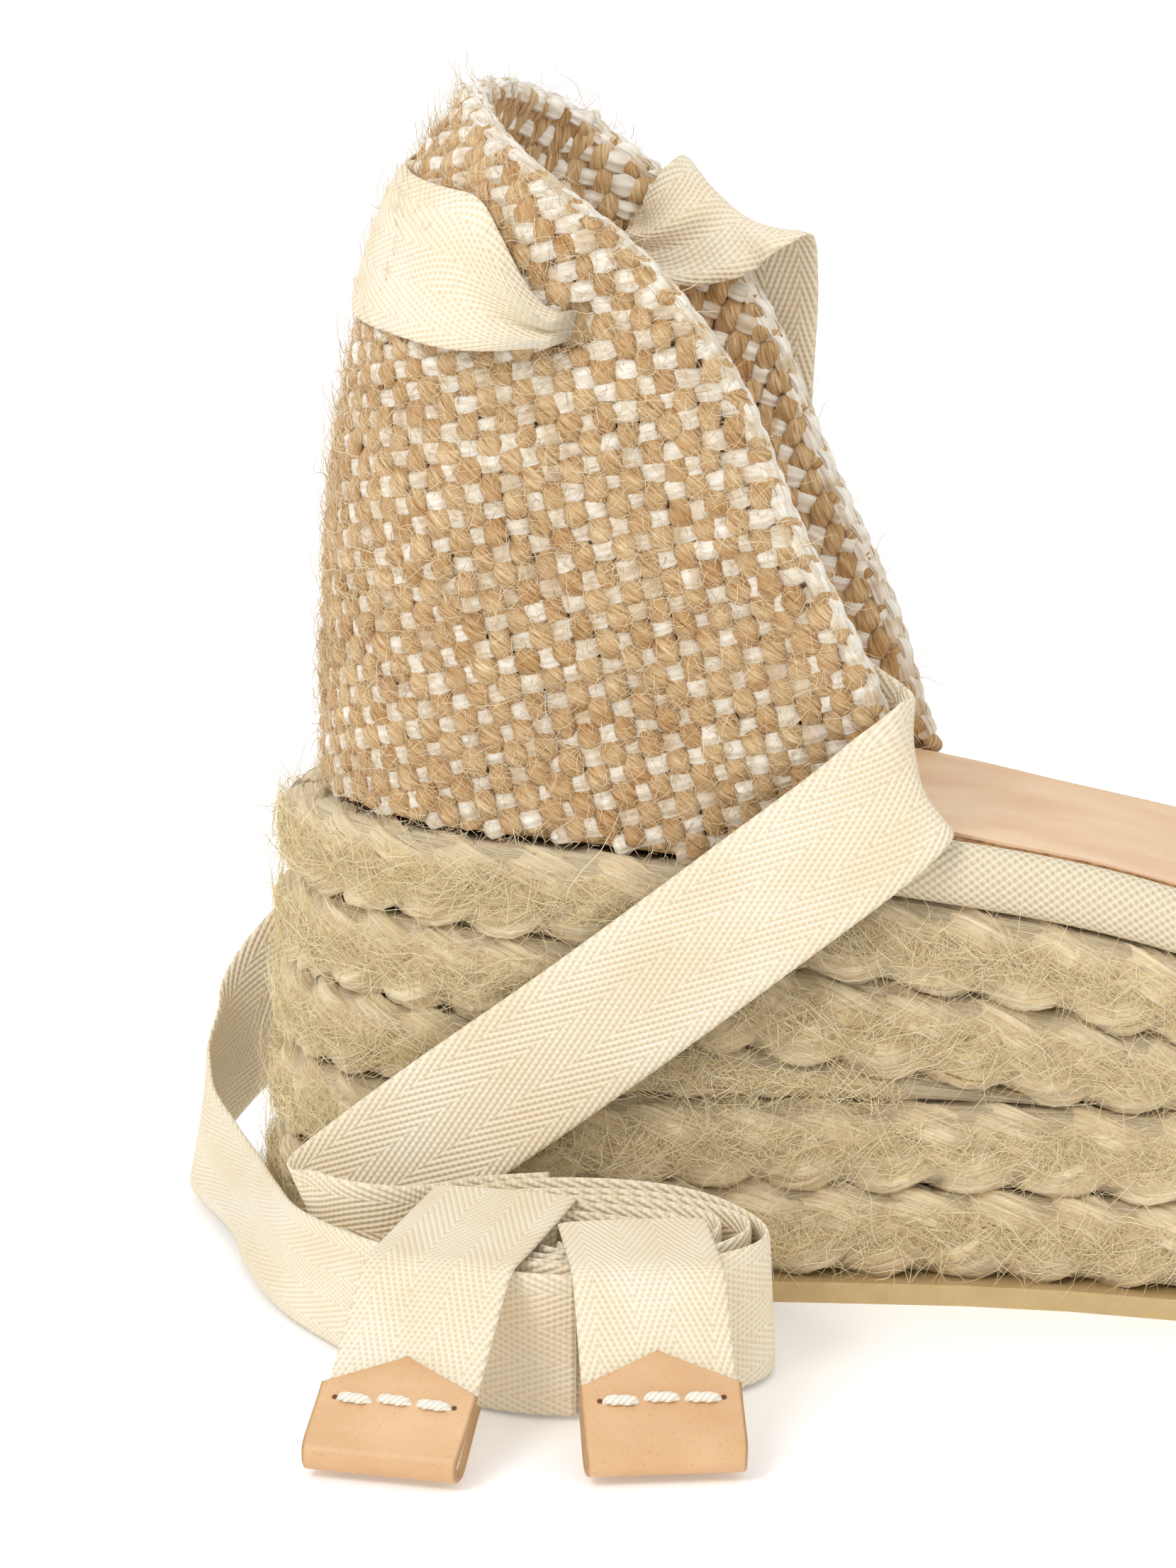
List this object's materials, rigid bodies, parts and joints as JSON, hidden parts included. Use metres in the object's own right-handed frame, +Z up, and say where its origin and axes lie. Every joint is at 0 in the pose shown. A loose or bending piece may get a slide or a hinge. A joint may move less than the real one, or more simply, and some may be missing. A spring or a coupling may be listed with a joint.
{
  "type": "wedge sandal",
  "caption": "Espadrille wedge sandal for the right foot: braided jute wedge, woven jute heel counter and toe strap, leather footbed and a long ankle tape with leather tips.",
  "frame": {"origin": "middle of the sole's underside, measured without the ankle tape", "axes": "+X towards the toe, +Y towards the inner side of the foot, +Z up"},
  "size_m": [0.2555, 0.1499, 0.1638],
  "materials": {
    "rubber": "matt beige rubber",
    "core": "light EVA foam, hidden",
    "jute_rope": "braided jute rope with loose fibres",
    "board": "insole board, hidden",
    "foam": "soft foam, hidden",
    "leather": "smooth pale tan leather with a raw cut edge",
    "canvas": "natural cotton canvas, plain weave",
    "jute_cloth": "coarse plain weave of jute and white cotton yarn",
    "interlining": "woven interlining, hidden",
    "tape": "ivory cotton herringbone tape",
    "tip_leather": "smooth tan leather, folded",
    "thread": "thick waxed cream thread"
  },
  "bodies": {
    "sole": {"outsole": "rubber", "wedge_core": "core", "rope_layer_1": "jute_rope", "rope_layer_2": "jute_rope", "rope_layer_3": "jute_rope", "rope_layer_4": "jute_rope", "rope_layer_5": "jute_rope", "insole_board": "board", "footbed_foam": "foam", "leather_footbed": "leather", "rand_outer": "canvas", "rand_inner": "canvas", "rand_toe": "canvas", "vamp_outer": "jute_cloth", "vamp_lining": "jute_cloth", "tape_outer_side_fall": "tape", "tape_inner_side_fall": "tape", "tape_heel_loop": "tape", "tape_bundle": "tape", "tape_rear_over": "tape", "tape_front_over": "tape"},
    "counter": {"counter_outer": "jute_cloth", "counter_interlining": "interlining", "counter_lining": "jute_cloth", "tape_back_wrap": "tape", "tape_outer_side_inside": "tape", "tape_inner_side_inside": "tape"},
    "rear_end": {"tape_rear_end": "tape", "rear_tip": "tip_leather", "rear_tip_stitch_1": "thread", "rear_tip_stitch_2": "thread", "rear_tip_stitch_3": "thread"},
    "front_end": {"tape_front_end": "tape", "front_tip": "tip_leather", "front_tip_stitch_1": "thread", "front_tip_stitch_2": "thread", "front_tip_stitch_3": "thread"}
  },
  "joints": [
    {"name": "counter_lean", "type": "hinge", "parent": "sole", "child": "counter", "pos_m": [-0.1146, 0.0018, 0.0658], "axis": [0, -1, 0], "range_deg": [0, 8]},
    {"name": "rear_end_lift", "type": "hinge", "parent": "sole", "child": "rear_end", "pos_m": [-0.089, -0.07865, 0.021], "axis": [-0.9877, 0.1564, 0], "range_deg": [0, 110]},
    {"name": "front_end_lift", "type": "hinge", "parent": "sole", "child": "front_end", "pos_m": [-0.0615, -0.07865, 0.021], "axis": [-0.9877, -0.1564, 0], "range_deg": [0, 110]}
  ]
}
